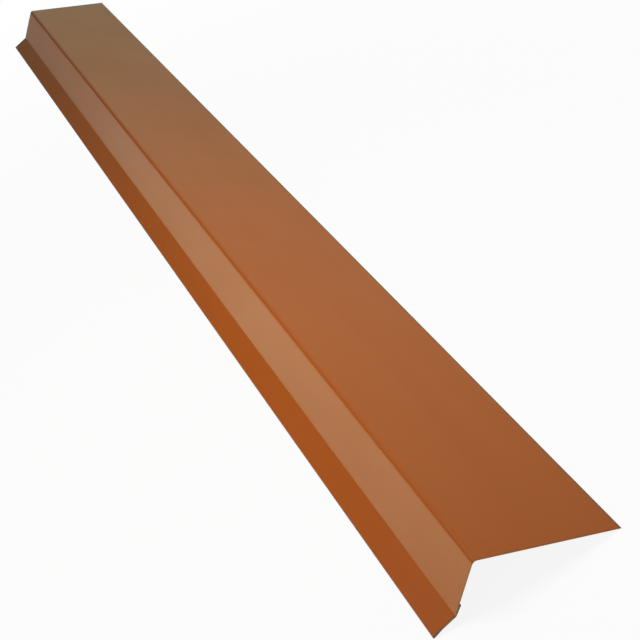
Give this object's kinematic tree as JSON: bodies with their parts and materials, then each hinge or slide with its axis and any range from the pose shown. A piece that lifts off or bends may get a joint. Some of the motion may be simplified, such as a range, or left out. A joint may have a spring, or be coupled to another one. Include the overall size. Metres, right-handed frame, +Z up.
{
  "type": "eaves flashing",
  "caption": "Long folded coated-steel strip that caps a roof deck's eaves edge: flange, leg and kicked-out hemmed drip lip.",
  "frame": {"origin": "at floor level, under the middle of the resting strip's footprint and the middle of its length", "axes": "+X along the strip, -Y towards the leg and the drip lip, +Y towards the flange's back edge, +Z up"},
  "size_m": [2, 0.1766, 0.0465],
  "materials": {
    "coated_steel": "satin copper-brown coil coating outside, grey-beige backing coat inside, bare zinc on the cut edges"
  },
  "bodies": {
    "root": {"folded_sheet": "coated_steel"}
  },
  "joints": []
}
